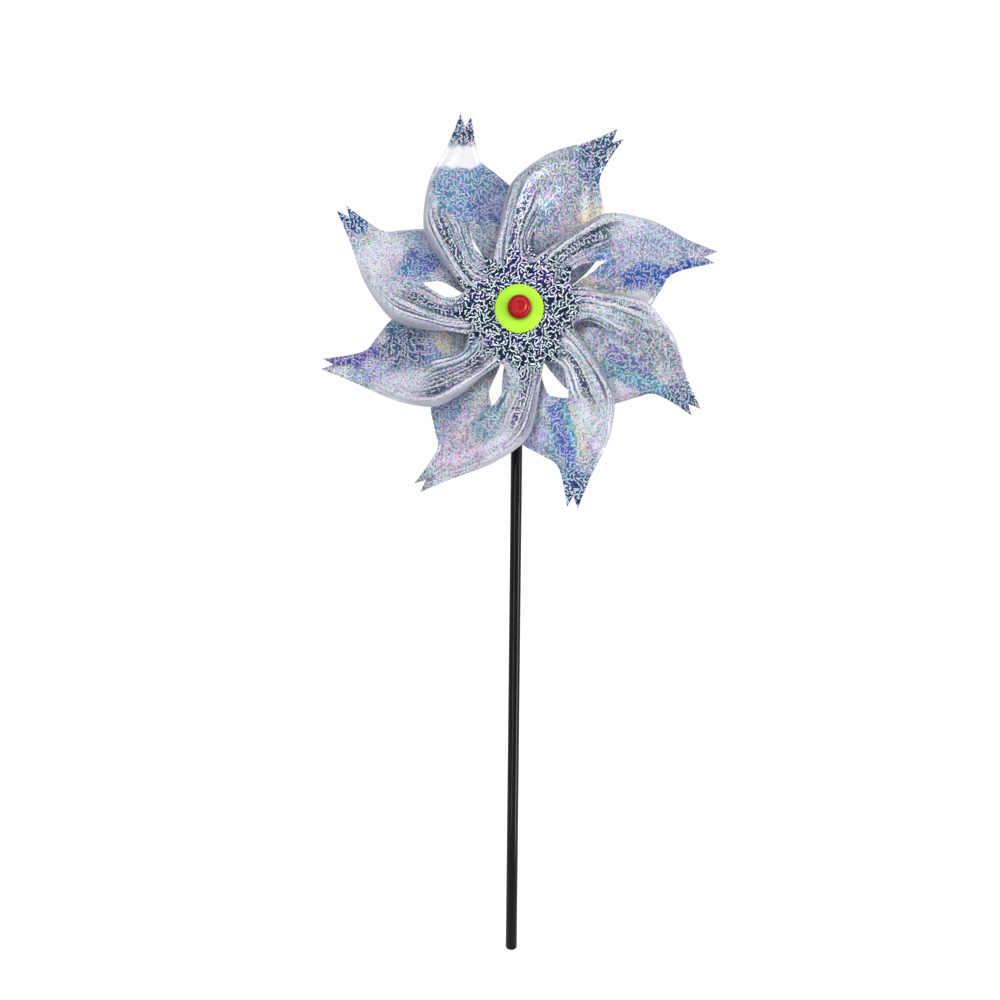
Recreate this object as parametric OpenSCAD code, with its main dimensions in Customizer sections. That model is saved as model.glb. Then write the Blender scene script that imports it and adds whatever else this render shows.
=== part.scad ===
// Garden pinwheel: eight rolled film petals on a hub that spins on a slim upright rod.
// Millimetres, +Z up, the wheel faces -Y. Origin at the centre of the rod's foot.

/* [Overall] */
// diameter across two opposite petal tips
wheel_d = 240; // [190:1:290]
// height of the topmost petal tip above the foot, with that petal upright
total_h = 505; // [400:1:620]
// turn of the wheel at rest: angle of the first petal's tip from straight up
rest_turn = 15.8; // [-22:0.1:22]

/* [Rod] */
// outside diameter of the rod
rod_d = 7; // [5.2:0.1:8]
// wall of the rod tube
rod_wall = 1; // [0.6:0.1:1.5]
// length of the head's plug inside the rod
rod_grip = 14; // [8:0.5:20]
// gap between plug and rod, all round
rod_gap = 0.05; // [0.02:0.01:0.1]

/* [Rod head] */
// outside diameter of the head
head_d = 11; // [10.4:0.1:14]
// solid height of the head between rod and axle
head_web = 2.5; // [1.5:0.1:5]
// height of the head above the axle
head_top = 5.5; // [4:0.1:8]

/* [Axle] */
// axle diameter
axle_d = 3; // [2.5:0.1:3.4]
// radial running clearance between axle and hub
axle_play = 0.08; // [0.02:0.01:0.1]
// radial gap of the still parts on the axle
axle_gap = 0.02; // [0.01:0.01:0.05]
// diameter of the head behind the rod
axle_head_d = 7; // [5.5:0.1:9]
// thickness of the head behind the rod
axle_head_t = 1.6; // [1:0.1:2.5]

/* [Hub] */
// diameter of the sleeve the petals are threaded on
sleeve_d = 7; // [5.8:0.1:8.4]
// diameter of the sleeve's rear flange
flange_d = 20; // [16:0.5:26]
// thickness of the rear flange
flange_t = 1.4; // [1:0.1:2.2]
// free length between the rear and the front stack of petal ends
stack_gap = 7.6; // [6:0.1:10]
// diameter of the collar that keeps the two stacks apart
collar_d = 11; // [9.8:0.1:14]
// end float of the hub between its bearings, each end
end_play = 0.25; // [0.1:0.05:0.5]
// gap between pieces stacked on the sleeve
stack_play = 0.05; // [0.02:0.01:0.1]
// length of the tube that keeps the wheel off the rod head
standoff = 5.2; // [3.5:0.1:9]
// outside diameter of that tube
standoff_d = 6; // [5.2:0.1:8]

/* [Front disc] */
// diameter over the teeth
disc_d = 28.6; // [24:0.1:34]
// rim thickness
disc_t = 1.8; // [1.4:0.1:2.6]
// number of teeth round the rim
disc_teeth = 48; // [24:2:72]
// depth of the teeth
tooth_h = 0.6; // [0.3:0.05:0.9]

/* [Cap] */
// diameter of the round cap
cap_d = 13.8; // [11:0.1:18]
// height of the cap's straight rim
cap_rim = 2.6; // [1.6:0.1:4]
// height of the dome above the rim
cap_dome = 3.4; // [2:0.1:5]
// diameter of the dimple in the dome
dimple_d = 4.4; // [3:0.1:6]
// depth of the dimple
dimple_h = 0.7; // [0.4:0.1:1.2]

/* [Film] */
// film thickness
film_t = 0.2; // [0.12:0.01:0.24]
// room for one film layer in a stack
layer_step = 0.26; // [0.26:0.01:0.32]
// radial gap between a punched eye and the sleeve
eye_gap = 0.1; // [0.05:0.01:0.2]
// how strongly the petals roll towards the wind, 1 = as built
roll = 1; // [0.6:0.05:1.3]

/* [Hidden] */
petals = 8;
pitch = 360 / petals;
axle_r = axle_d / 2;
bore_r = axle_r + axle_play;
still_r = axle_r + axle_gap;
rod_r = rod_d / 2;
plug_r = rod_r - rod_wall - rod_gap;
head_low = axle_r + head_web;
axle_z = total_h - wheel_d / 2;
rod_len = axle_z - head_low - stack_play;
head_h = head_low + head_top;
round_r = 1.2;
tube_r = standoff_d / 2;
stack_t = petals * layer_step;
head_r = head_d / 2;
head_flat = head_r - round_r;
plug_lead = 0.6;
tube_front = head_flat + stack_play + standoff;
flange_back = tube_front + end_play;
root_back = flange_back + flange_t + stack_play;
collar_back = root_back + stack_t + stack_play;
arm_back = collar_back + stack_gap + stack_play;
disc_back = arm_back + stack_t + stack_play;
sleeve_front = disc_back + disc_t;
cap_back = sleeve_front + end_play;
axle_front = cap_back + cap_rim;
arm_rise = arm_back - root_back;
sleeve_r = sleeve_d / 2;
eye_r = sleeve_r + eye_gap;
disc_r = disc_d / 2;
cap_r = cap_d / 2;
dimple_r = dimple_d / 2;
ball_r = (dimple_r * dimple_r + dimple_h * dimple_h) / (2 * dimple_h);
design_r = 120;
span_k = wheel_d / 2 / design_r;
bead_r = 0.35;
eps = 0.01;
$fn = 96;

// One petal as a net of points: each row runs from the inner edge to the outer edge.
// Sideways, tipwards and forwards; forwards 0 is the rear stack and 1 the front stack.
// Rows go from the rear eye up the hidden leg, round the tip and down the front arm.
PETAL = [
    [[-2.6, -6.8, 0], [-0.9, -7.5, 0], [0.9, -7.5, 0], [2.6, -6.8, 0]],
    [[-6, 0, 0], [-2, 0, 0], [2, 0, 0], [6, 0, 0]],
    [[-5.6, 9, 0], [-1.5, 8.6, 0], [2.6, 8, 0], [6.6, 7, 0]],
    [[-2.6, 20, 0], [2, 18.7, -0.02], [6, 17, -0.05], [9.8, 15, -0.08]],
    [[-3.6, 35, -0.02], [4, 34.6, -0.08], [11, 32.6, -0.18], [17.5, 29.5, -0.25]],
    [[-3.2, 42.5, 0.28], [6, 46.5, 0.02], [15, 48, -0.24], [23, 47.5, -0.48]],
    [[-3.4, 48, 0.41], [5.5, 55.5, 0.07], [14.5, 61, -0.28], [22.6, 63.5, -0.6]],
    [[-4.6, 51.6, 0.46], [2.8, 62, 0.17], [10.8, 70, -0.14], [17.9, 74.6, -0.41]],
    [[-6, 52.8, 0.51], [-2.5, 69, 0.38], [3.8, 79.5, 0.2], [8.4, 84.8, 0.14]],
    [[-7.2, 53.4, 0.56], [-5, 74.5, 0.47], [-1, 88, 0.46], [1.4, 94.4, 0.48]],
    [[-8.2, 53.9, 0.6], [-8.2, 78.5, 0.62], [-4, 98.5, 0.64], [2.9, 117.4, 0.76]],
    [[-9, 54.3, 0.63], [-10, 79.3, 0.69], [-6.4, 98.6, 0.69], [-2, 112.4, 0.75]],
    [[-9.8, 54.7, 0.66], [-11.8, 79.4, 0.75], [-8.8, 98.8, 0.74], [-2.8, 120, 0.85]],
    [[-10.8, 55.2, 0.7], [-15.4, 77.5, 0.88], [-14.8, 94.5, 0.86], [-13.8, 105.4, 0.85]],
    [[-11.8, 55.7, 0.74], [-20, 74, 1.06], [-22.7, 86, 1.1], [-24, 93.6, 1.09]],
    [[-12.9, 56.1, 0.78], [-24, 70, 1.21], [-28.8, 79.5, 1.35], [-31.2, 84.4, 1.1]],
    [[-14.1, 56, 0.83], [-27, 64, 1.33], [-33.8, 69.5, 1.6], [-37.6, 72.6, 0.8]],
    [[-15, 53.2, 0.98], [-25.9, 57.5, 1.3], [-35.5, 60, 1.64], [-41, 61, 0.55]],
    [[-15.4, 47.5, 0.99], [-25.2, 49.5, 1.26], [-33.8, 50, 1.5], [-39, 49.5, 0.5]],
    [[-15.4, 42, 1], [-23.8, 41, 1.15], [-31, 40, 1.3], [-35, 38.5, 0.62]],
    [[-13.6, 37, 1.01], [-21.4, 33.4, 1.06], [-28, 30.8, 1.08], [-30.8, 28.2, 1]],
    [[-8.6, 33, 1], [-17.3, 27.4, 1], [-23.3, 21.4, 1], [-27, 17, 1]],
    [[-0.8, 30.6, 1], [-8.2, 21.2, 1], [-16.2, 12.4, 1], [-22.6, 5.6, 1]],
    [[7.4, 22, 1], [-0.9, 12.2, 1], [-8.9, 4.6, 1], [-16, -2.6, 1]],
    [[9.4, 10, 1], [3.6, 3.4, 1], [-2.4, -2, 1], [-8.6, -7.8, 1]],
    [[6.2, -2.2, 1], [4, -5, 1], [1, -7.4, 1], [-2.2, -8.8, 1]]
];
// how far the gap between leg and arm stands open on each petal, 0 shut to 1 wide
GAPE = [0.1, 0, 0.35, 0, 1, 0.65, 0, 0.7];
// share of the closing move that each row's inner edge takes
SHUT = [0, 0, 0, 0.2, 0.6, 0.95, 1.1, 1.1, 1, 0.9, 0.8, 0.7, 0.6, 0.45, 0.35, 0.2,
    0, 0, 0, 0, 0, 0, 0, 0, 0, 0];
// closing move of the inner edge and of the next column
CLOSE = [[-10.5, -3, 0.08], [-4, -1.2, 0.03], [0, 0, 0], [0, 0, 0]];
rows = len(PETAL);
cols = len(PETAL[0]);
// rows of the forked tip: the outer edge turns a sharp corner there
FORK = [10, 11, 12];
// steps between two rows, and steps across the film
row_steps = 2;
film_steps = 7;
us = (rows - 1) * row_steps;

function is_fork(i) = len([for (c = FORK) if (c == i) c]) > 0;
function clip(i) = min(max(i, 0), rows - 1);
function knot(i, j, gape) = PETAL[clip(i)][j] + CLOSE[j] * SHUT[clip(i)] * (1 - gape);
function slope(i, j, gape) =
    (j == cols - 1 && is_fork(i)) ? [0, 0, 0]
    : (knot(i + 1, j, gape) - knot(i - 1, j, gape)) / 2;
// smooth curve through one column of the net
function along(i, t, j, gape) =
    knot(i, j, gape) * (2 * t * t * t - 3 * t * t + 1)
    + slope(i, j, gape) * (t * t * t - 2 * t * t + t)
    + knot(i + 1, j, gape) * (3 * t * t - 2 * t * t * t)
    + slope(i + 1, j, gape) * (t * t * t - t * t);
// smooth curve across the film through the four columns
function mix4(p, w) =
    p[0] * (-4.5 * (w - 1 / 3) * (w - 2 / 3) * (w - 1))
    + p[1] * (13.5 * w * (w - 2 / 3) * (w - 1))
    + p[2] * (-13.5 * w * (w - 1 / 3) * (w - 1))
    + p[3] * (4.5 * w * (w - 1 / 3) * (w - 2 / 3));
// distance forwards of a point of the net: only what lies outside the stacks follows roll
function reach(d) = d > 1 ? 1 + (d - 1) * roll : d < 0 ? d * roll : d;
function depth(d, layer) = root_back + (layer + 0.5) * layer_step + reach(d) * arm_rise;
function place(p, layer) = [p[0] * span_k, -depth(p[2], layer), p[1] * span_k];
function net(layer) = [
    for (a = [0:us])
        let (i = min(floor(a / row_steps), rows - 2), t = a / row_steps - i)
        let (q = [for (j = [0:cols - 1]) along(i, t, j, GAPE[layer])])
        [for (b = [0:film_steps]) place(mix4(q, b / film_steps), layer)]
];
function unit(v) = v / norm(v);
function facing(n, a, b) = unit(cross(
    n[min(a + 1, us)][b] - n[max(a - 1, 0)][b],
    n[a][min(b + 1, film_steps)] - n[a][max(b - 1, 0)]));
function skin(n, side) = [
    for (a = [0:us]) for (b = [0:film_steps]) n[a][b] + facing(n, a, b) * side * film_t / 2
];
function at(a, b) = a * (film_steps + 1) + b;
function quad(p, q, r, s) = [[p, q, r], [p, r, s]];
function walls(m) = concat(
    [for (a = [0:us - 1]) for (f = quad(at(a, 0), at(a + 1, 0), at(a + 1, 0) + m, at(a, 0) + m)) f],
    [for (a = [0:us - 1]) let (b = film_steps)
        for (f = quad(at(a, b), at(a, b) + m, at(a + 1, b) + m, at(a + 1, b))) f],
    [for (b = [0:film_steps - 1]) for (f = quad(at(0, b), at(0, b) + m, at(0, b + 1) + m, at(0, b + 1))) f],
    [for (b = [0:film_steps - 1])
        for (f = quad(at(us, b), at(us, b + 1), at(us, b + 1) + m, at(us, b) + m)) f]);

// turns a piece drawn along +Z so that it points forwards along the axle
module on_axle(back) {
    translate([0, -back, axle_z])
        rotate([90, 0, 0])
            children();
}

module rod() {
    color([0.05, 0.05, 0.06])
        difference() {
            cylinder(h = rod_len, r = rod_r);
            translate([0, 0, -eps])
                cylinder(h = rod_len + 2 * eps, r = rod_r - rod_wall);
        }
}

module rod_head() {
    color([0.06, 0.06, 0.07])
        difference() {
            translate([0, 0, axle_z - head_low])
                rotate_extrude()
                    polygon([
                        [0, -rod_grip], [plug_r - plug_lead, -rod_grip], [plug_r, plug_lead - rod_grip],
                        [plug_r, 0], [head_r - round_r, 0], [head_r, round_r],
                        [head_r, head_h - round_r], [head_r - round_r, head_h], [0, head_h]
                    ]);
            on_axle(-head_d)
                cylinder(h = 2 * head_d, r = still_r);
            // flats for the axle head behind and the stand-off tube in front
            for (side = [-1, 1])
                translate([-head_r, side * (head_flat + head_r) - head_r, axle_z - head_d])
                    cube([head_d, head_d, 2 * head_d]);
        }
}

module axle_pin() {
    color([0.75, 0.76, 0.78])
        on_axle(-head_flat - stack_play)
            union() {
                cylinder(h = axle_front + head_flat + stack_play, r = axle_r);
                translate([0, 0, -axle_head_t])
                    cylinder(h = axle_head_t, r = axle_head_d / 2);
            }
}

module standoff_tube() {
    color([0.9, 0.9, 0.9])
        on_axle(head_flat + stack_play)
            difference() {
                cylinder(h = standoff, r = tube_r);
                translate([0, 0, -eps])
                    cylinder(h = standoff + 2 * eps, r = still_r);
            }
}

module hub_sleeve() {
    color([0.68, 0.94, 0.24])
        on_axle(flange_back)
            difference() {
                union() {
                    cylinder(h = flange_t, r = flange_d / 2);
                    cylinder(h = sleeve_front - flange_back, r = sleeve_r);
                }
                translate([0, 0, -eps])
                    cylinder(h = sleeve_front - flange_back + 2 * eps, r = bore_r);
            }
}

module collar() {
    color([0.9, 0.9, 0.9])
        on_axle(collar_back)
            difference() {
                cylinder(h = stack_gap, r = collar_d / 2);
                translate([0, 0, -eps])
                    cylinder(h = stack_gap + 2 * eps, r = sleeve_r + stack_play);
            }
}

module front_disc() {
    color([0.68, 0.94, 0.24])
        on_axle(disc_back)
            difference() {
                linear_extrude(height = disc_t)
                    polygon([
                        for (k = [0:2 * disc_teeth - 1])
                            (disc_r - (k % 2) * tooth_h)
                            * [cos(180 * k / disc_teeth), sin(180 * k / disc_teeth)]
                    ]);
                translate([0, 0, -eps])
                    cylinder(h = disc_t + 2 * eps, r = sleeve_r + axle_gap);
            }
}

module red_cap() {
    color([0.8, 0.08, 0.12])
        on_axle(cap_back)
            difference() {
                rotate_extrude()
                    polygon(concat(
                        [[0, 0], [cap_r - bead_r, 0], [cap_r, bead_r]],
                        [for (a = [0:6:90])
                            [cap_r * cos(a), cap_rim + cap_dome * sin(a)]]
                    ));
                translate([0, 0, -eps])
                    cylinder(h = cap_rim + eps, r = still_r);
                translate([0, 0, cap_rim + cap_dome - dimple_h + ball_r])
                    sphere(r = ball_r);
            }
}

module petal(layer) {
    n = net(layer);
    top = skin(n, 1);
    low = skin(n, -1);
    m = len(top);
    color([0.72, 0.74, 0.8])
        translate([0, 0, axle_z])
            rotate([0, pitch * layer - rest_turn, 0])
                difference() {
                    polyhedron(
                        points = concat(top, low),
                        faces = concat(
                            [for (a = [0:us - 1]) for (b = [0:film_steps - 1])
                                for (f = quad(at(a, b), at(a, b + 1), at(a + 1, b + 1), at(a + 1, b))) f],
                            [for (a = [0:us - 1]) for (b = [0:film_steps - 1])
                                for (f = quad(at(a, b) + m, at(a + 1, b) + m,
                                    at(a + 1, b + 1) + m, at(a, b + 1) + m)) f],
                            walls(m)),
                        convexity = 8);
                    rotate([90, 0, 0])
                        cylinder(h = sleeve_front, r = eye_r);
                }
}

module petal_1() {
    petal(0);
}

module petal_2() {
    petal(1);
}

module petal_3() {
    petal(2);
}

module petal_4() {
    petal(3);
}

module petal_5() {
    petal(4);
}

module petal_6() {
    petal(5);
}

module petal_7() {
    petal(6);
}

module petal_8() {
    petal(7);
}

rod();
rod_head();
axle_pin();
standoff_tube();
hub_sleeve();
collar();
front_disc();
red_cap();
petal_1();
petal_2();
petal_3();
petal_4();
petal_5();
petal_6();
petal_7();
petal_8();
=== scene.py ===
# %% [markdown]
# # A garden pinwheel of mirror film
# This lesson dresses a packed pinwheel model: a slim black rod, a hub on a short axle,
# and eight petals bent from thin hologram film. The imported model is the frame. It says
# how big each piece is and what turns with what; here each piece gets its final looks.

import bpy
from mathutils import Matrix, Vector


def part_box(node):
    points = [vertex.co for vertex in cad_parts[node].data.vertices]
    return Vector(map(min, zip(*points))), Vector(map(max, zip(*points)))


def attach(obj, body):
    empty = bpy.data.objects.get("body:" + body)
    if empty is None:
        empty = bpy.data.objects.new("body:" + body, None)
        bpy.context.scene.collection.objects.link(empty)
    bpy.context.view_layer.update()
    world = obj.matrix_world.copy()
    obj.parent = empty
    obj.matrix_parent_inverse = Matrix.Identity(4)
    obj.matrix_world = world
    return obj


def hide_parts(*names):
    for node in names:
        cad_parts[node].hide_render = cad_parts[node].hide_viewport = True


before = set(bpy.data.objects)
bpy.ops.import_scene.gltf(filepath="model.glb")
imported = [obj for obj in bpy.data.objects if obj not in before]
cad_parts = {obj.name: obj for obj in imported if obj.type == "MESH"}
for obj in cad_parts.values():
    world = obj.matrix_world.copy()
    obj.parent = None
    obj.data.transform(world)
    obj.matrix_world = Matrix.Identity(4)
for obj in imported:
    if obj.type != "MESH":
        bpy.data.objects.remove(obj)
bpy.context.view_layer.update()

import math
import bpy
import numpy as np
from mathutils import Matrix, Vector

MM = 0.001
axle_z = (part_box("front_disc")[0][2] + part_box("front_disc")[1][2]) / 2


# %% [markdown]
# ## Small tools for the bench
# An operator works on everything that is selected, so each piece starts with nothing
# selected. Faces and points are then picked by where they are.

# %% Picking helpers
def clear():
    if bpy.context.object and bpy.context.object.mode != "OBJECT":
        bpy.ops.object.mode_set(mode="OBJECT")
    bpy.ops.object.select_all(action="DESELECT")


def alone(obj):
    clear()
    obj.select_set(True)
    bpy.context.view_layer.objects.active = obj


def pick(obj, kind, test):
    """Selects the faces (kind FACE) or points (kind VERT) of obj that pass the test."""
    bpy.ops.object.mode_set(mode="OBJECT")
    mesh = obj.data
    for group in (mesh.polygons, mesh.edges, mesh.vertices):
        group.foreach_set("select", [False] * len(group))
    if kind == "FACE":
        for f in mesh.polygons:
            f.select = bool(test(f.center, f.normal))
    else:
        for v in mesh.vertices:
            v.select = bool(test(v.co))
    bpy.ops.object.mode_set(mode="EDIT")
    bpy.ops.mesh.select_mode(type=kind)


def modifier(obj, kind, **settings):
    bpy.ops.object.mode_set(mode="OBJECT")
    m = obj.modifiers.new(kind.title(), kind)
    for key, value in settings.items():
        setattr(m, key, value)
    bpy.ops.object.modifier_apply(modifier=m.name)


def settle(obj, name, body, material, stands_for):
    """Names a finished piece, puts its place in its mesh and hangs it on its body."""
    alone(obj)
    bpy.ops.object.transform_apply(location=True, rotation=True, scale=True)
    obj.name = obj.data.name = name
    obj.data.materials.clear()
    obj.data.materials.append(material)
    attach(obj, body)
    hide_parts(*stands_for)
    print(name, len(obj.data.polygons), "faces")


# %% [markdown]
# ## The camera
# The camera stands close in front of the rod, level with a point a little over half way
# up, so the disc looks a touch larger and higher than it would from far off. It is turned
# by about half a degree, so the rod leans a little in the view.

# %% Camera
REACH, VIEW_W = 0.36, 0.6163        # metres to the rod, and how wide the view is there
CAMERA_X, CAMERA_Z = -0.0099, 0.2747
LEAN = 0.62                         # degrees
SENSOR = 36
cam_data = bpy.data.cameras.new("camera")
cam_data.sensor_width = SENSOR
cam_data.lens = SENSOR * REACH / VIEW_W
camera = bpy.data.objects.new("camera", cam_data)
bpy.context.scene.collection.objects.link(camera)
camera.matrix_world = (
    Matrix.Translation((CAMERA_X, -REACH, CAMERA_Z))
    @ Matrix.Rotation(math.radians(90), 4, "X")
    @ Matrix.Rotation(math.radians(LEAN), 4, "Z"))
bpy.context.scene.camera = camera
bpy.context.scene.view_settings.view_transform = "Standard"
print("camera", REACH, "m in front, view", VIEW_W, "m wide, lens", round(cam_data.lens, 1), "mm")


# %% [markdown]
# ## Shader sums as plain Python
# A material is a web of small sums. The class below wraps one output of a node, so that
# a sum can be typed as it is thought: `1 - mask * 0.5`.

# %% Wire and Finish
class Wire:
    def __init__(self, finish, socket):
        self.finish, self.socket = finish, socket

    def sum(self, how, *others):
        inputs = dict(enumerate([self, *others]))
        return self.finish.node("ShaderNodeMath", {"operation": how}, inputs)["Value"]

    def __add__(self, o):
        return self.sum("ADD", o)

    __radd__ = __add__

    def __mul__(self, o):
        return self.sum("MULTIPLY", o)

    __rmul__ = __mul__

    def __sub__(self, o):
        return self.sum("SUBTRACT", o)

    def __rsub__(self, o):
        return (self * -1).sum("ADD", o)

    def __truediv__(self, o):
        return self.sum("DIVIDE", o)

    def abs(self):
        return self.sum("ABSOLUTE")

    def sqrt(self):
        return self.sum("SQRT")

    def sin(self):
        return self.sum("SINE")

    def cos(self):
        return self.sum("COSINE")

    def over(self, o):
        return self.sum("MAXIMUM", o)

    def ease(self, low, high):
        """0 below low, 1 above high, smooth between (low may be the larger)."""
        n = self.finish.node("ShaderNodeMapRange", {"interpolation_type": "SMOOTHSTEP"},
                             {"Value": self, "From Min": low, "From Max": high})
        return n["Result"]


class Finish:
    def __init__(self, name, **principled):
        self.material = bpy.data.materials.new(name)
        self.material.use_nodes = True
        self.tree = self.material.node_tree
        self.tree.nodes.clear()
        out = self.tree.nodes.new("ShaderNodeOutputMaterial")
        self.shader = self.tree.nodes.new("ShaderNodeBsdfPrincipled")
        self.tree.links.new(self.shader.outputs[0], out.inputs["Surface"])
        for key, value in principled.items():
            self.shader.inputs[key.replace("_", " ")].default_value = value

    def node(self, kind, settings=None, sockets=None):
        n = self.tree.nodes.new(kind)
        for key, value in (settings or {}).items():
            setattr(n, key, value)
        for key, value in (sockets or {}).items():
            s = n.inputs[key]
            if isinstance(value, Wire):
                self.tree.links.new(value.socket, s)
            elif isinstance(value, tuple) and s.type == "RGBA":
                s.default_value = (*value, 1)
            else:
                s.default_value = value
        return {o.name: Wire(self, o) for o in n.outputs if o.enabled}

    def spot(self):
        """The place on the piece, in metres."""
        return self.node("ShaderNodeTexCoord")["Object"]

    def spot_mm(self):
        return self.scaled(self.spot(), (1000, 1000, 1000))

    def vector(self, how, a, b):
        return self.node("ShaderNodeVectorMath", {"operation": how}, {0: a, 1: b})["Vector"]

    def scaled(self, vector, by):
        return self.vector("MULTIPLY", vector, by)

    def split(self, vector):
        return self.node("ShaderNodeSeparateXYZ", {}, {0: vector})

    def join(self, x, y, z):
        return self.node("ShaderNodeCombineXYZ", {}, {0: x, 1: y, 2: z})["Vector"]

    def hsv(self, hue, saturation):
        """A bright colour of any hue."""
        return self.node("ShaderNodeCombineColor", {"mode": "HSV"},
                         {0: hue, 1: saturation, 2: 1.0})["Color"]

    def uv(self, name):
        return self.split(self.node("ShaderNodeUVMap", {"uv_map": name})["UV"])

    def noise(self, vector, scale, detail=0.0):
        return self.node("ShaderNodeTexNoise", {},
                         {"Vector": vector, "Scale": scale, "Detail": detail})

    def mix(self, share, a, b, how="MIX"):
        self.node("ShaderNodeMix", {"data_type": "RGBA", "blend_type": how},
                  {0: share, 6: a, 7: b})
        # a Mix node has an output for each kind of data; the third one is the colour
        return Wire(self, self.tree.nodes[-1].outputs[2])

    def feed(self, **sockets):
        for key, wire in sockets.items():
            self.tree.links.new(wire.socket, self.shader.inputs[key.replace("_", " ")])

    def bump(self, height, distance, strength=1.0):
        sockets = {"Height": height, "Distance": distance, "Strength": strength}
        self.feed(Normal=self.node("ShaderNodeBump", {}, sockets)["Normal"])


# %% [markdown]
# ## Plastics and steel
# The rod is a glossy extruded tube, so it has faint lines along its length. The disc and
# sleeve are a lime plastic that lets a little light in. The cap is red with a thin clear
# coat and turned rings, with painted shade in its grooves and on its shoulder and a painted
# highlight on the crest; the tube and collar are milky, and the pin is steel. The parts
# deep in the hub and the moulded rod head stay the frame's own solids: they have every
# bore, flange and flat already, so they only take a finish.

# %% Plastics
def black_plastic():
    f = Finish("black plastic", Roughness=0.12, Specular_IOR_Level=0.24)
    lines = f.noise(f.scaled(f.spot(), (2600, 2600, 12)), 1.0, 2)["Fac"]
    wear = f.noise(f.scaled(f.spot(), (300, 300, 60)), 1.0, 3)["Fac"]
    f.feed(Base_Color=f.mix(wear.ease(0.45, 0.75), (0.001, 0.001, 0.002), (0.004, 0.004, 0.007)),
           Roughness=0.06 + lines * 0.08 + wear * 0.05)
    f.bump(lines, 0.00004, 0.5)
    return f.material


def lime_plastic():
    f = Finish("lime plastic", Roughness=0.42, Subsurface_Weight=0.35, Subsurface_Scale=0.002,
               Subsurface_Radius=(0.8, 1.0, 0.3), Specular_IOR_Level=0.15)
    grain = f.noise(f.spot_mm(), 1.4, 3)["Fac"]
    cloud = f.noise(f.spot_mm(), 0.12, 2)["Fac"]
    f.feed(Base_Color=f.mix(cloud.ease(0.35, 0.65), (0.40, 0.78, 0.035), (0.43, 0.83, 0.05)),
           Roughness=0.34 + grain * 0.16)
    f.bump(grain, 0.00003, 0.6)
    return f.material


def red_plastic():
    f = Finish("red plastic", Roughness=0.2, Specular_IOR_Level=0.18, Coat_Weight=0.08,
               Coat_Roughness=0.05)
    cloud = f.noise(f.spot_mm(), 0.5, 2)["Fac"]
    spot = f.split(f.spot())
    x, z = spot["X"] * 1000, (spot["Z"] - axle_z) * 1000
    out = (x * x + z * z).sqrt()
    # rings round the middle, in millimetres: painted shade, a deep red, in two grooves and
    # on the shoulder, and a paler painted highlight on the crest between them
    painted_shade = (out - 4.9).abs().ease(0.5, 0.1).over((out - 1.9).abs().ease(0.4, 0.1))
    painted_shade = painted_shade.over(out.ease(5.5, 6.3))
    painted_highlight = (out - 4.0).abs().ease(0.55, 0.15)
    red = f.mix(cloud, (0.36, 0.001, 0.005), (0.48, 0.003, 0.009))
    red = f.mix(painted_shade * 0.8, red, (0.17, 0.0, 0.002))
    f.feed(Base_Color=f.mix(painted_highlight * 0.15, red, (0.85, 0.12, 0.12)),
           Roughness=0.14 + cloud * 0.1)
    f.bump(cloud, 0.00003, 0.5)
    return f.material


def milky_plastic():
    f = Finish("milky plastic", Roughness=0.4, Subsurface_Weight=0.3, Subsurface_Scale=0.002)
    cloud = f.noise(f.spot_mm(), 0.8, 2)["Fac"]
    f.feed(Base_Color=f.mix(cloud, (0.78, 0.79, 0.78), (0.88, 0.89, 0.88)),
           Roughness=0.35 + cloud * 0.15)
    return f.material


def steel():
    f = Finish("steel", Metallic=1.0, Roughness=0.3)
    turned = f.noise(f.scaled(f.spot(), (1000, 60, 1000)), 2.0, 3)["Fac"]
    f.feed(Base_Color=f.mix(turned, (0.5, 0.51, 0.53), (0.68, 0.69, 0.7)),
           Roughness=0.22 + turned * 0.2)
    return f.material


PLASTIC = {"black": black_plastic(), "lime": lime_plastic(), "red": red_plastic(),
           "milky": milky_plastic(), "steel": steel()}
for node, finish in {"axle_pin": "steel", "standoff_tube": "milky", "collar": "milky",
                     "hub_sleeve": "lime", "rod_head": "black"}.items():
    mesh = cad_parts[node].data
    mesh.materials.clear()
    mesh.materials.append(PLASTIC[finish])
print("plastics", sorted(PLASTIC))


# %% [markdown]
# ## Hologram film
# The film is mirror foil pressed with a maze of fine strokes. Where it faces a dark room
# the maze stands out white on navy; where it leans to the light it washes out to silver
# and lavender. Both looks are painted into the sheet's colour here as painted reflections:
# each petal has patches of its own, placed in millimetres from the hub, sideways and
# towards the petal's tip.

# %% Film patches
SLATE, NAVY, SEA = (0.16, 0.22, 0.30), (0.06, 0.17, 0.29), (0.08, 0.24, 0.46)
BLUE, SKY, TEAL = (0.10, 0.19, 0.54), (0.26, 0.38, 0.56), (0.18, 0.42, 0.52)
VIOLET, LILAC, ROSE = (0.18, 0.15, 0.46), (0.49, 0.52, 0.70), (0.68, 0.56, 0.63)
GOLD, PALE, WHITE = (0.82, 0.72, 0.54), (0.76, 0.75, 0.79), (0.80, 0.78, 0.81)
GREY = (0.32, 0.34, 0.39)
# the patches are painted reflections: a dark ground where the film faces a dark room, a
# washed-out silver or tint where it leans to the light
DARK_REFLECTING = (SLATE, NAVY, SEA)                   # patches where the strokes stand on black
LIGHT_REFLECTING = (PALE, WHITE, ROSE, LILAC, GOLD)     # patches where they nearly vanish
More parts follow.
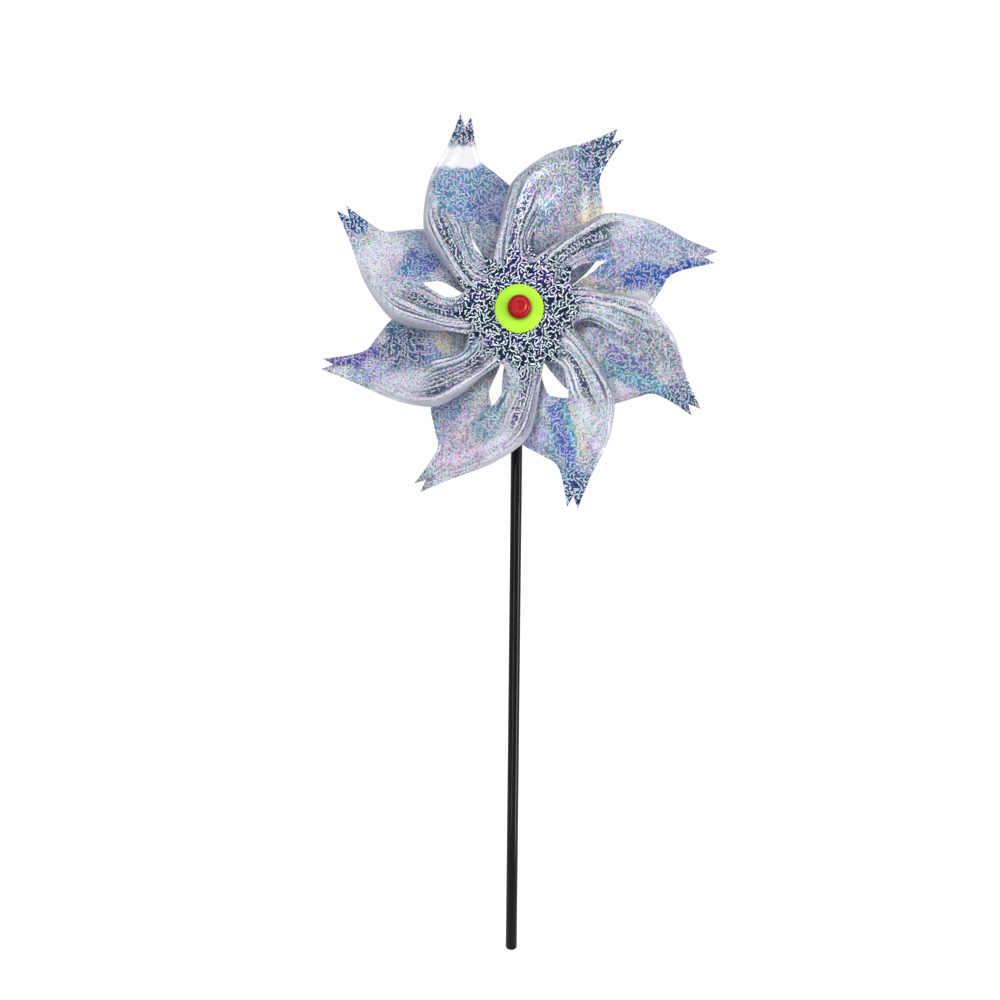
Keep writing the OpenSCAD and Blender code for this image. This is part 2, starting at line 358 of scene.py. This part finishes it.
# each patch: sideways, tipwards, half width, half height, colour, strength
PATCHES = {
    1: [(-6, 76, 32, 22, SKY, 0.9), (-22, 72, 10, 18, TEAL, 0.35), (-2, 82, 14, 9, TEAL, 0.3),
        (-8, 64, 18, 8, BLUE, 0.3), (8, 66, 10, 8, LILAC, 0.7), (-36, 70, 7, 22, PALE, 0.8),
        (-8, 96, 20, 7.5, WHITE, 1.0), (-22, 100, 10, 9, WHITE, 1.0),
        (-1, 112, 15, 11, SLATE, 1.0)],
    2: [(-14, 72, 24, 22, GREY, 0.35), (0, 112, 17, 26, SLATE, 0.95), (-4, 92, 12, 8, BLUE, 0.35),
        (12, 70, 13, 14, GOLD, 0.9), (2, 60, 12, 8, ROSE, 0.55), (-14, 58, 12, 8, TEAL, 0.35)],
    3: [(-20, 88, 20, 28, LILAC, 0.5), (-32, 72, 8, 20, PALE, 0.8), (3, 100, 7, 22, BLUE, 0.95),
        (-2, 74, 8, 14, BLUE, 0.9), (-14, 54, 9, 9, SKY, 0.8), (12, 72, 9, 8, WHITE, 0.7),
        (10, 63, 10, 6, GOLD, 0.7), (-4, 42, 9, 7, GOLD, 0.5)],
    4: [(-22, 80, 12, 26, GREY, 0.45), (-32, 66, 6, 22, PALE, 0.7), (0, 112, 11, 15, SLATE, 0.8),
        (0, 84, 6, 30, TEAL, 0.85), (-7, 66, 5, 18, VIOLET, 0.6), (5, 66, 4, 14, SKY, 0.8),
        (12, 74, 8, 12, PALE, 0.9), (9, 82, 6, 8, ROSE, 0.5)],
    5: [(-26, 76, 10, 24, PALE, 0.7), (-14, 78, 4, 22, GOLD, 0.45), (-6, 74, 6, 26, BLUE, 0.8),
        (-11, 70, 3, 20, TEAL, 0.9), (1, 82, 4, 14, TEAL, 0.6), (10, 70, 12, 14, LILAC, 0.6),
        (0, 112, 15, 16, NAVY, 1.0), (-1, 99, 12, 5, SKY, 0.6)],
    6: [(-10, 88, 16, 20, ROSE, 0.5), (-30, 72, 9, 24, PALE, 0.85), (-16, 66, 10, 12, TEAL, 0.5),
        (-6, 62, 5, 12, ROSE, 0.6), (10, 74, 10, 16, SKY, 0.55), (6, 92, 8, 10, LILAC, 0.7),
        (1, 114, 10, 9, GREY, 0.9)],
    7: [(-27, 78, 11, 24, PALE, 0.8), (-12, 84, 6, 18, LILAC, 0.6), (2, 100, 9, 22, VIOLET, 0.85),
        (0, 70, 15, 16, SLATE, 0.75), (13, 68, 8, 11, TEAL, 0.85), (-10, 58, 9, 9, BLUE, 0.4),
        (-4, 47, 9, 6, GOLD, 0.6)],
    8: [(-12, 86, 22, 13, PALE, 0.95), (-30, 66, 8, 22, PALE, 0.7), (-5, 66, 13, 11, BLUE, 0.6),
        (-12, 68, 5, 12, TEAL, 0.6), (-2, 60, 8, 6, BLUE, 0.6), (10, 72, 8, 12, LILAC, 0.6),
        (-14, 77, 10, 5, ROSE, 0.5), (0, 113, 15, 14, SEA, 1.0)],
}


# %% [markdown]
# The maze is a pattern of small cells, bent a little by a noise, and each cell carries
# one short stroke at an angle of its own. The front stack of petal ends lies square to
# the viewer, so it gets a painted dark reflection: the dark rosette round the disc. Folds
# of painted shade reach out of it along the arms. Two maps on each petal say where a point
# is: `cut` is sideways and tipwards over a square sheet, `strip` is across the strip and
# along its rows.

# %% Maze and tones
SHEET = 240          # side of the square that the cut map covers, in millimetres
HALF_TURN = 3.14


def strokes(f, mm):
    """How far a point is from its cell's stroke, and the cell's three lucky numbers."""
    bent = f.vector("ADD", mm, f.scaled(f.noise(mm, 0.5, 0)["Color"], (1.6, 1.6, 1.6)))
    cell = f.node("ShaderNodeTexVoronoi", {}, {"Vector": bent, "Scale": 0.50, "Randomness": 1.0})
    luck = f.node("ShaderNodeSeparateColor", {}, {0: cell["Color"]})
    off = f.split(f.vector("SUBTRACT", bent, cell["Position"]))
    angle = luck["Red"] * HALF_TURN
    return (off["X"] * angle.cos() + off["Z"] * angle.sin()).abs(), luck


def tones(f, patches, x, y, wander):
    """The sheet's tone with its painted reflections, how strongly its strokes show, and where a
    painted dark reflection puts them on black.
    """
    tone = f.mix(wander.ease(0.35, 0.65), (0.41, 0.46, 0.54), (0.60, 0.61, 0.66))
    contrast, dark_reflection = 0.85, 0
    for px, py, rx, ry, colour, strength in patches:
        dx, dy = (x - px) / rx, (y - py) / ry
        inside = (dx * dx + dy * dy).sqrt() + (wander - 0.5) * 1.2
        inside = inside.ease(1.08, 0.68) * strength
        tone = f.mix(inside, tone, colour)
        if colour in DARK_REFLECTING:
            dark_reflection = (inside * 0.8).over(dark_reflection)
        if colour in LIGHT_REFLECTING:
            contrast = contrast - inside * (0.9 if colour is WHITE else 0.15)
    return tone, contrast, dark_reflection


# %% Film finish
def film(number, patches):
    f = Finish(f"film {number}", Metallic=0.45, Roughness=0.34, Specular_IOR_Level=0.08)
    mm = f.spot_mm()
    cut, strip = f.uv("cut"), f.uv("strip")
    x, y = (cut["X"] - 0.5) * SHEET, (cut["Y"] - 0.5) * SHEET
    across, row = strip["X"], strip["Y"] * ROWS
    wander = f.noise(mm, 0.11, 2)["Fac"]
    fine = f.noise(mm, 1.1, 0)["Fac"]
    aside, luck = strokes(f, mm)

    # folds: a wedge of painted shade along the middle of the arm, and thin creases on both sides
    # of it
    fold = f.noise(f.join(across * 5, row * 0.12, number * 3.7), 1.0, 1.5)["Fac"]
    crease = f.noise(f.join(across * 21, row * 0.16, number * 5.1), 1.0, 1.0)["Fac"]
    inner = row.ease(15.2, 17.6) * row.ease(21.6, 21.0)
    middle = across - (0.42 + 0.1 * math.sin(number * 2.1)) + (fold - 0.5) * 0.7
    wedge = inner * middle.abs().ease(0.15, 0.08)

    # where the sheet is painted dark: a painted dark reflection on the rosette and the petal's
    # front end, and painted shade in the wedge
    reach = (x * x + y * y).sqrt() + (wander - 0.5) * 8 + (fold - 0.5) * 45
    hub = row.ease(18.8, 19.8) * reach.ease(37, 31)
    dark = hub.over(wedge * 0.8).over(row.ease(21.2, 21.8))
    pinched = row.ease(15.0, 17.4) * row.ease(21.6, 21.0) * (1 - hub)

    # the tone: patches of painted reflection, then a painted rainbow sheen across the strip, then
    # a painted highlight on one side of the fold, and painted dark reflection and shade where the
    # sheet is dark
    tone, contrast, dark_reflection = tones(f, patches, x, y, wander)
    sweep = f.hsv((across * 7 + wander * 8 + number).sin() * 0.14 + 0.60, 0.4)
    tone = f.mix(contrast * 0.22, tone, sweep, "MULTIPLY")
    tone = f.mix(inner * middle.ease(0.14, 0.2) * 0.35, tone, (0.72, 0.71, 0.77))
    night = f.mix(wander.ease(0.48, 0.62), (0.03, 0.06, 0.11), (0.06, 0.06, 0.30))
    tone = f.mix(dark, tone, night)

    # strokes are paler than the tone, the ground between them darker and deeper
    contrast = contrast.over(0).over(dark)
    maze = (aside + hub * 0.09).ease(0.49, 0.31) * luck["Green"].ease(0.10, 0.15)
    splinter = f.hsv(luck["Blue"] * 0.42 + 0.42 + wander.ease(0.54, 0.64) * 0.42, 0.55)
    ground = f.mix(contrast * 0.72, tone, f.mix(1.0, tone, tone, "MULTIPLY"))
    ground = f.mix(fine.ease(0.46, 0.36) * contrast * 0.7, ground, (0.02, 0.03, 0.07))
    pale = f.mix(dark, (1.0, 1.0, 1.0), (0.88, 0.98, 0.98))
    stroke = f.mix(contrast * 0.55 + dark * 0.4, tone, pale)
    black = f.mix(fine.ease(0.45, 0.6), (0.01, 0.02, 0.05), (0.04, 0.07, 0.26))
    # painted dark reflection: the ground turns black and the strokes a cyan white
    ground = f.mix(dark_reflection * 0.75, ground, black)
    stroke = f.mix(dark_reflection * 0.55, stroke, (0.85, 0.96, 1.0))
    stroke = f.mix(luck["Green"].ease(0.45, 0.65) * (0.42 - dark * 0.06), stroke, splinter)
    share = (contrast * 0.5 + 0.22).over(dark).over(dark_reflection)
    colour = f.mix(maze * share, ground, stroke)

    # fine coloured grain over everything but the dark places
    grain = f.node("ShaderNodeHueSaturation", {}, {
        "Saturation": 1.8, "Value": 1.15, "Color": f.noise(mm, 1.2, 0.5)["Color"]})["Color"]
    colour = f.mix((1 - dark) * (contrast * 0.42 + 0.14), colour, grain, "OVERLAY")

    # painted shade on one side of each crease and a painted highlight on the other
    colour = f.mix(pinched * crease.ease(0.45, 0.38) * 0.75, colour, (0.03, 0.04, 0.09))
    colour = f.mix(pinched * crease.ease(0.58, 0.64) * 0.65, colour, (0.80, 0.79, 0.84))

    # rolled flank: a painted reflection turns the pattern to plain grey silver, with fine streaks
    # that are also bumps in the film
    flank = across.ease(0.74, 0.86) * row.ease(13.4, 14.8) * row.ease(20.4, 19.2)
    streaks = f.noise(f.join(across * 90, row * 0.6, float(number)), 1.0, 3)["Fac"]
    silver = f.mix(streaks.ease(0.35, 0.65), (0.34, 0.34, 0.40), (0.64, 0.63, 0.69))
    colour = f.mix(flank * 0.8, colour, silver)
    f.feed(Base_Color=colour, Roughness=0.30 + maze * 0.12 + streaks * 0.1)
    f.bump(streaks * 0.7 + maze * 0.2, 0.0003, 0.3)
    return f.material


# %% [markdown]
# ## The petal's net
# Film bends but doesn't stretch, so one petal is a single strip. It starts at an eye on
# the back of the hub, goes up a hidden leg, round the forked tip, over the roll, and down
# an arm to an eye on the front of the hub. The net gives four points across the strip at
# each of its rows: sideways, tipwards, and forwards, where 0 is the rear stack of petal
# ends and 1 is the front stack. These are the same rows that the frame's petals have.

# %% Net
PETAL = np.array([
    [[-2.6, -6.8, 0], [-0.9, -7.5, 0], [0.9, -7.5, 0], [2.6, -6.8, 0]],
    [[-6, 0, 0], [-2, 0, 0], [2, 0, 0], [6, 0, 0]],
    [[-5.6, 9, 0], [-1.5, 8.6, 0], [2.6, 8, 0], [6.6, 7, 0]],
    [[-2.6, 20, 0], [2, 18.7, -0.02], [6, 17, -0.05], [9.8, 15, -0.08]],
    [[-3.6, 35, -0.02], [4, 34.6, -0.08], [11, 32.6, -0.18], [17.5, 29.5, -0.25]],
    [[-3.2, 42.5, 0.28], [6, 46.5, 0.02], [15, 48, -0.24], [23, 47.5, -0.48]],
    [[-3.4, 48, 0.41], [5.5, 55.5, 0.07], [14.5, 61, -0.28], [22.6, 63.5, -0.6]],
    [[-4.6, 51.6, 0.46], [2.8, 62, 0.17], [10.8, 70, -0.14], [17.9, 74.6, -0.41]],
    [[-6, 52.8, 0.51], [-2.5, 69, 0.38], [3.8, 79.5, 0.2], [8.4, 84.8, 0.14]],
    [[-7.2, 53.4, 0.56], [-5, 74.5, 0.47], [-1, 88, 0.46], [1.4, 94.4, 0.48]],
    [[-8.2, 53.9, 0.6], [-8.2, 78.5, 0.62], [-4, 98.5, 0.64], [2.9, 117.4, 0.76]],
    [[-9, 54.3, 0.63], [-10, 79.3, 0.69], [-6.4, 98.6, 0.69], [-2, 112.4, 0.75]],
    [[-9.8, 54.7, 0.66], [-11.8, 79.4, 0.75], [-8.8, 98.8, 0.74], [-2.8, 120, 0.85]],
    [[-10.8, 55.2, 0.7], [-15.4, 77.5, 0.88], [-14.8, 94.5, 0.86], [-13.8, 105.4, 0.85]],
    [[-11.8, 55.7, 0.74], [-20, 74, 1.06], [-22.7, 86, 1.1], [-24, 93.6, 1.09]],
    [[-12.9, 56.1, 0.78], [-24, 70, 1.21], [-28.8, 79.5, 1.35], [-31.2, 84.4, 1.1]],
    [[-14.1, 56, 0.83], [-27, 64, 1.33], [-33.8, 69.5, 1.6], [-37.6, 72.6, 0.8]],
    [[-15, 53.2, 0.98], [-25.9, 57.5, 1.3], [-35.5, 60, 1.64], [-41, 61, 0.55]],
    [[-15.4, 47.5, 0.99], [-25.2, 49.5, 1.26], [-33.8, 50, 1.5], [-39, 49.5, 0.5]],
    [[-15.4, 42, 1], [-23.8, 41, 1.15], [-31, 40, 1.3], [-35, 38.5, 0.62]],
    [[-13.6, 37, 1.01], [-21.4, 33.4, 1.06], [-28, 30.8, 1.08], [-30.8, 28.2, 1]],
    [[-8.6, 33, 1], [-17.3, 27.4, 1], [-23.3, 21.4, 1], [-27, 17, 1]],
    [[-0.8, 30.6, 1], [-8.2, 21.2, 1], [-16.2, 12.4, 1], [-22.6, 5.6, 1]],
    [[7.4, 22, 1], [-0.9, 12.2, 1], [-8.9, 4.6, 1], [-16, -2.6, 1]],
    [[9.4, 10, 1], [3.6, 3.4, 1], [-2.4, -2, 1], [-8.6, -7.8, 1]],
    [[6.2, -2.2, 1], [4, -5, 1], [1, -7.4, 1], [-2.2, -8.8, 1]],
])
# how far each petal's gap between leg and arm stands open, from 0 to 1
GAPE = [0.1, 0, 0.35, 0, 1, 0.65, 0, 0.7]
# a closed gap moves the four columns by CLOSE, as much as SHUT says at each row
SHUT = np.array([0, 0, 0, 0.2, 0.6, 0.95, 1.1, 1.1, 1, 0.9, 0.8, 0.7, 0.6, 0.45, 0.35, 0.2]
                + [0] * 10)
CLOSE = np.array([[-10.5, -3, 0.08], [-4, -1.2, 0.03], [0, 0, 0], [0, 0, 0]])
FORK = (10, 11, 12)              # rows where the outer edge has the tip's sharp corners
ROWS = len(PETAL) - 1
STEPS, WIDE = 10, 30             # faces between two rows, and faces across the strip
PETALS, TURN = 8, 15.8           # petal 1 stands this many degrees left of upright
LAYER, PLAY = 0.26, 0.05         # room for one petal end in a stack, and the stack's play
FILM, EYE = 0.16, 3.6            # the film's thickness, and the radius of its eyes
arm_back = -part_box("front_disc")[1][1] / MM - PLAY - PETALS * LAYER
root_back = -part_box("collar")[1][1] / MM - PLAY - PETALS * LAYER
print("stacks of petal ends start at", round(root_back, 2), "and", round(arm_back, 2), "mm")


# %% Points of one petal
def along(net, at):
    """The four columns at a place between two rows, on a smooth curve through them all."""
    i = min(int(at), ROWS - 1)
    t = at - i

    def slope(k):
        s = (net[min(k + 1, ROWS)] - net[max(k - 1, 0)]) / 2
        if k in FORK:
            s[3] = 0
        return s

    return (net[i] * (2 * t**3 - 3 * t**2 + 1) + slope(i) * (t**3 - 2 * t**2 + t)
            + net[i + 1] * (3 * t**2 - 2 * t**3) + slope(i + 1) * (t**3 - t**2))


def across_film(four, w):
    """The point at w, from 0 to 1 across the strip, on a cubic through the four columns."""
    a, b = 1 / 3, 2 / 3
    return (four[0] * (-4.5 * (w - a) * (w - b) * (w - 1))
            + four[1] * (13.5 * w * (w - b) * (w - 1))
            + four[2] * (-13.5 * w * (w - a) * (w - 1))
            + four[3] * (4.5 * w * (w - a) * (w - b)))


def climb(at, start, end):
    """0 before start, 1 past end, straight between (end may be the smaller)."""
    return min(max((at - start) / (end - start), 0), 1)


def ripple(at, w, number):
    """Waves and creases in the film, in millimetres; none where it is clamped."""
    free = climb(at, 4, 8) * climb(at, 20, 17)
    wave = (0.32 * math.sin(17 * w + 0.55 * at + number)
            + 0.18 * math.sin(31 * w - 0.8 * at + 2.1 * number))
    # the arm is pinched together at the hub, so it folds into sharp lengthwise creases
    pinched = climb(at, 13.5, 16.5) * climb(at, 20.2, 18.7)
    crease = abs(math.sin(math.pi * (2.6 * w + 0.05 * at + 0.37 * number))) - 0.5
    return free * wave * (0.35 + w) - pinched * 0.7 * crease


def petal_points(number):
    """Places of a petal's points in metres, and its two maps."""
    net = PETAL + CLOSE[None] * SHUT[:, None, None] * (1 - GAPE[number - 1])
    turn = math.radians(360 / PETALS * (number - 1) - TURN)
    cos, sin = math.cos(turn), math.sin(turn)
    points, flat, strip = [], [], []
    for a in range(ROWS * STEPS + 1):
        at = a / STEPS
        four = along(net, at)
        for b in range(WIDE + 1):
            w = b / WIDE
            x, y, d = across_film(four, w)
            deep = (root_back + (number - 0.5) * LAYER + d * (arm_back - root_back)
                    + ripple(at, w, number))
            points.append((MM * (x * cos + y * sin), -MM * deep,
                           axle_z + MM * (y * cos - x * sin)))
            flat.append((x / SHEET + 0.5, y / SHEET + 0.5))
            strip.append((w, at / ROWS))
    return points, flat, strip


print("a petal has", len(petal_points(1)[0]), "points")


# %% [markdown]
# ## Bending the petals
# Each petal starts as a flat grid, as the film starts as a flat sheet. Its points are then
# laid on the net, the two eyes are punched, and a Solidify modifier gives the film its
# thickness.

# %% Petals
def punch(obj, radius):
    """Cuts the eyes: faces inside the radius go, and the rims close up on a circle."""
    def near(c):
        return math.hypot(c.x, c.z - axle_z)

    pick(obj, "FACE", lambda c, n: near(c) < radius)
    bpy.ops.mesh.delete(type="FACE")
    bpy.ops.object.mode_set(mode="OBJECT")
    for v in obj.data.vertices:
        r = near(v.co)
        if r < radius + 0.5 * MM:
            v.co.x, v.co.z = v.co.x * radius / r, axle_z + (v.co.z - axle_z) * radius / r


def petal(number):
    clear()
    bpy.ops.mesh.primitive_grid_add(x_subdivisions=WIDE, y_subdivisions=ROWS * STEPS, size=0.1)
    obj = bpy.context.object
    mesh = obj.data
    points, flat, strip = petal_points(number)
    mesh.vertices.foreach_set("co", np.array(points).ravel())
    corner = np.zeros(len(mesh.loops), dtype=np.int64)
    mesh.loops.foreach_get("vertex_index", corner)
    for layer in list(mesh.uv_layers):
        mesh.uv_layers.remove(layer)
    for name, places in (("cut", flat), ("strip", strip)):
        mesh.uv_layers.new(name=name).data.foreach_set("uv", np.array(places)[corner].ravel())
    punch(obj, EYE * MM)
    modifier(obj, "SOLIDIFY", thickness=FILM * MM, offset=0, use_even_offset=False)
    bpy.ops.object.shade_smooth_by_angle(angle=math.radians(40))
    settle(obj, f"film_petal_{number}", "wheel", film(number, PATCHES[number]),
           [f"petal_{number}"])


for number in range(1, PETALS + 1):
    petal(number)


# %% [markdown]
# ## The rod
# The rod is a plain extruded tube with softly broken edges at its two ends.

# %% Rod
WALL, BROKEN_EDGE = 0.001, 0.0003


def tube(low, high, outer, inner, soft):
    """An upright tube: a cylinder whose ends are inset and bridged through."""
    clear()
    bpy.ops.mesh.primitive_cylinder_add(vertices=64, radius=outer, depth=high - low,
                                        location=(0, 0, (low + high) / 2))
    obj = bpy.context.object
    bpy.ops.object.transform_apply(location=True, rotation=False, scale=False)
    pick(obj, "FACE", lambda c, n: abs(n.z) > 0.9)
    bpy.ops.mesh.inset(thickness=outer - inner, depth=0)
    bpy.ops.mesh.bridge_edge_loops()
    modifier(obj, "BEVEL", width=soft, segments=3, limit_method="ANGLE",
             angle_limit=math.radians(50))
    bpy.ops.object.shade_smooth_by_angle(angle=math.radians(50))
    return obj


low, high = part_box("rod")
settle(tube(low[2], high[2], high[0], high[0] - WALL, BROKEN_EDGE),
       "tube_rod", "stake", PLASTIC["black"], ["rod"])


# %% [markdown]
# ## The toothed disc
# The disc is moulded with fine teeth round its rim and a slightly raised field. A circle
# with four points for each tooth is filled, three of the four are drawn in, and the face
# is built up in steps: each one is extruded forwards and made a little narrower.

# %% Front disc
TEETH = 48
FIELD_FOOT = 0.77    # where the raised field starts, as a share of the thickness
# how much each of a tooth's four points is drawn in: valley, then the two flanks
TOOTH = ((2, 0.955), (1, 0.972), (3, 0.972))
# each step: how far forwards (share of the thickness), how much narrower, and whether
# the face is then made round, which ends the teeth
DISC_STEPS = ((0.72, 1, False), (0.05, 0.985, False), (0, 0.93, True), (0.17, 0.965, False),
              (0.06, 0.95, False), (0, 0.62, False), (-0.12, 0.97, False))


def front_disc():
    low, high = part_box("front_disc")
    radius, thick, back = (high[0] - low[0]) / 2, high[1] - low[1], (0, high[1], axle_z)
    clear()
    bpy.ops.mesh.primitive_circle_add(vertices=TEETH * 4, radius=radius, fill_type="NGON",
                                      rotation=(math.radians(90), 0, 0), location=back)
    obj = bpy.context.object
    bpy.ops.object.transform_apply(location=True, rotation=True, scale=True)
    step = 2 * math.pi / (TEETH * 4)

    def place_in_tooth(v):
        return round(math.atan2(v.z - axle_z, v.x) / step) % 4

    for place, share in TOOTH:
        pick(obj, "VERT", lambda v: place_in_tooth(v) == place)
        bpy.ops.transform.resize(value=(share, 1, share), center_override=back)
    pick(obj, "FACE", lambda c, n: True)
    for forwards, share, made_round in DISC_STEPS:
        bpy.ops.mesh.extrude_region_move(
            TRANSFORM_OT_translate={"value": (0, -thick * forwards, 0)})
        bpy.ops.transform.resize(value=(share, 1, share), center_override=back)
        if made_round:
            bpy.ops.transform.tosphere(
                value=1, center_override=(0, high[1] - thick * FIELD_FOOT, axle_z))
    bpy.ops.mesh.select_all(action="SELECT")
    bpy.ops.mesh.normals_make_consistent(inside=False)
    modifier(obj, "BEVEL", width=0.12 * MM, segments=2, limit_method="ANGLE",
             angle_limit=math.radians(35))
    bpy.ops.object.shade_smooth_by_angle(angle=math.radians(35))
    settle(obj, "toothed_disc", "wheel", PLASTIC["lime"], ["front_disc"])


front_disc()


# %% [markdown]
# ## The cap
# The cap is turned in one shape all round: a straight rim, a shoulder, a raised ring and a
# dimple. Its outline is spun round the axle line.

# %% Cap
# outline from the middle of the back to the middle of the face: out, forward (shares)
CAP_LINE = ((0.0, 0.0), (0.93, 0.0), (1.0, 0.04), (1.0, 0.30), (0.985, 0.44), (0.94, 0.58),
            (0.86, 0.70), (0.76, 0.78), (0.70, 0.795), (0.66, 0.77), (0.62, 0.79),
            (0.54, 0.87), (0.44, 0.955), (0.36, 0.985), (0.31, 0.98), (0.26, 0.93),
            (0.2, 0.885), (0.1, 0.86), (0.0, 0.85))


def cap():
    low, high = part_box("red_cap")
    radius, back, front = (high[0] - low[0]) / 2, high[1], low[1]
    tall = back - front
    clear()
    bpy.ops.mesh.primitive_plane_add(size=0.001, location=(0, back, axle_z))
    obj = bpy.context.object
    bpy.ops.object.transform_apply(location=True, rotation=True, scale=True)
    pick(obj, "VERT", lambda v: True)
    bpy.ops.mesh.merge(type="CENTER")
    for (o0, f0), (o1, f1) in zip(CAP_LINE, CAP_LINE[1:]):
        bpy.ops.mesh.extrude_region_move(TRANSFORM_OT_translate={
            "value": ((o1 - o0) * radius, -(f1 - f0) * tall, 0)})
    bpy.ops.mesh.select_all(action="SELECT")
    bpy.ops.mesh.spin(steps=64, angle=2 * math.pi, center=(0, back, axle_z), axis=(0, 1, 0))
    bpy.ops.mesh.select_all(action="SELECT")
    bpy.ops.mesh.remove_doubles(threshold=0.00001)
    bpy.ops.mesh.normals_make_consistent(inside=False)
    modifier(obj, "SUBSURF", levels=1, render_levels=1)
    bpy.ops.object.shade_smooth_by_angle(angle=math.radians(40))
    settle(obj, "round_cap", "stake", PLASTIC["red"], ["red_cap"])


cap()


# %% [markdown]
# ## Floor and light
# A wide pale floor carries the foot. The camera sees plain white behind the pinwheel,
# while the film is lit by a grey room that is brighter overhead. Two tall soft boxes, one
# in front on the left and a stronger one on the right, put long highlights on the rod and
# keep both sides of each roll readable.

# %% Floor
clear()
bpy.ops.mesh.primitive_circle_add(vertices=128, radius=9, fill_type="NGON", location=(0, 0, 0))
floor = bpy.context.object
floor.name = "floor"
paint = Finish("floor", Roughness=0.9, Specular_IOR_Level=0.0)
paint.shader.inputs["Base Color"].default_value = (0.82, 0.82, 0.82, 1)
paint.shader.inputs["Emission Color"].default_value = (1, 1, 1, 1)
paint.shader.inputs["Emission Strength"].default_value = 0.5
floor.data.materials.append(paint.material)
floor.visible_glossy = False

# %% Light
world = bpy.data.worlds.new("room")
bpy.context.scene.world = world
world.use_nodes = True
tree = world.node_tree
tree.nodes.clear()
out = tree.nodes.new("ShaderNodeOutputWorld")
room = tree.nodes.new("ShaderNodeBackground")
seen = tree.nodes.new("ShaderNodeBackground")
pick_ray = tree.nodes.new("ShaderNodeLightPath")
blend = tree.nodes.new("ShaderNodeMixShader")
sky = tree.nodes.new("ShaderNodeTexCoord")
split = tree.nodes.new("ShaderNodeSeparateXYZ")
ramp = tree.nodes.new("ShaderNodeValToRGB")
seen.inputs["Color"].default_value = (1, 1, 1, 1)
room.inputs["Strength"].default_value = 1.0
stops = ramp.color_ramp.elements
for stop, (place, level) in zip([stops[0], stops[1], stops.new(0.5)],
                                [(0.0, 0.6), (1.0, 0.95), (0.52, 0.6)]):
    stop.position, stop.color = place, (level, level, level * 1.02, 1)
half = tree.nodes.new("ShaderNodeMapRange")
half.inputs["From Min"].default_value = -1
tree.links.new(sky.outputs["Generated"], split.inputs[0])
tree.links.new(split.outputs["Z"], half.inputs["Value"])
tree.links.new(half.outputs["Result"], ramp.inputs["Fac"])
tree.links.new(ramp.outputs["Color"], room.inputs["Color"])
tree.links.new(pick_ray.outputs["Is Camera Ray"], blend.inputs["Fac"])
tree.links.new(room.outputs[0], blend.inputs[1])
tree.links.new(seen.outputs[0], blend.inputs[2])
tree.links.new(blend.outputs[0], out.inputs["Surface"])


def lamp(name, place, aim, size, power):
    data = bpy.data.lights.new(name, "AREA")
    data.shape, data.energy = "RECTANGLE", power
    data.size, data.size_y = size
    obj = bpy.data.objects.new(name, data)
    bpy.context.scene.collection.objects.link(obj)
    obj.location = place
    obj.rotation_euler = (Vector(aim) - Vector(place)).to_track_quat("-Z", "Y").to_euler()
    print(name, "lamp", power, "W")


AIM = (0, 0, -0.1)
lamp("key", (-0.62, -1.4, -0.1), AIM, (0.3, 2.0), 8)
lamp("side", (1.3, -0.58, -0.1), AIM, (0.35, 2.0), 22)
